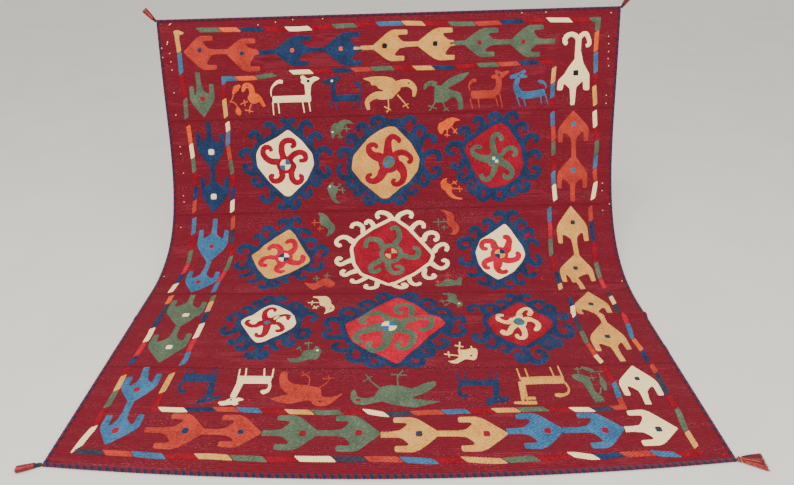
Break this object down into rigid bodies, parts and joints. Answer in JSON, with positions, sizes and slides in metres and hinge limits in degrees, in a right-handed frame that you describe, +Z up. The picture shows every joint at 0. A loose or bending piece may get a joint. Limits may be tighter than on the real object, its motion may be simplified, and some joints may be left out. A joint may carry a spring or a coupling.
{
  "type": "suzani embroidered textile",
  "caption": "Flat-woven wool hanging sewn from strips, embroidered with animals, curled medallions and striped borders, held by its top edge and falling onto the floor.",
  "frame": {"origin": "on the floor under the lowest strip, midway across, 1.45 m down the side edges from the top edge", "axes": "+Z up from the floor; +X across the cloth, to the right seen from the front; -Y to the front, where the cloth lies flat"},
  "size_m": [1.6325, 1.216, 0.8082],
  "materials": {
    "ground_wool": "hand-woven wool, weft-faced ribs, dull",
    "binding_wool": "overcast wool yarn in turns of navy and red, dull",
    "tassel_wool": "loose wool strands, soft sheen",
    "thread_navy": "laid wool embroidery, soft sheen",
    "thread_blue": "laid wool embroidery, soft sheen",
    "thread_green": "laid wool embroidery, soft sheen",
    "thread_orange": "laid wool embroidery, soft sheen",
    "thread_rust": "laid wool embroidery, soft sheen",
    "thread_tan": "laid wool embroidery, soft sheen",
    "thread_cream": "laid wool embroidery, soft sheen",
    "thread_red": "laid wool embroidery, soft sheen",
    "thread_slate": "laid wool embroidery, soft sheen"
  },
  "bodies": {
    "root": {"panel_1": "ground_wool", "panel_2": "ground_wool", "panel_3": "ground_wool", "panel_4": "ground_wool", "panel_5": "ground_wool", "binding_top": "binding_wool", "binding_bottom": "binding_wool", "binding_left": "binding_wool", "binding_right": "binding_wool", "tassel_top_left": "tassel_wool", "tassel_top_right": "tassel_wool", "tassel_bottom_left": "tassel_wool", "tassel_bottom_right": "tassel_wool"}
  },
  "joints": []
}
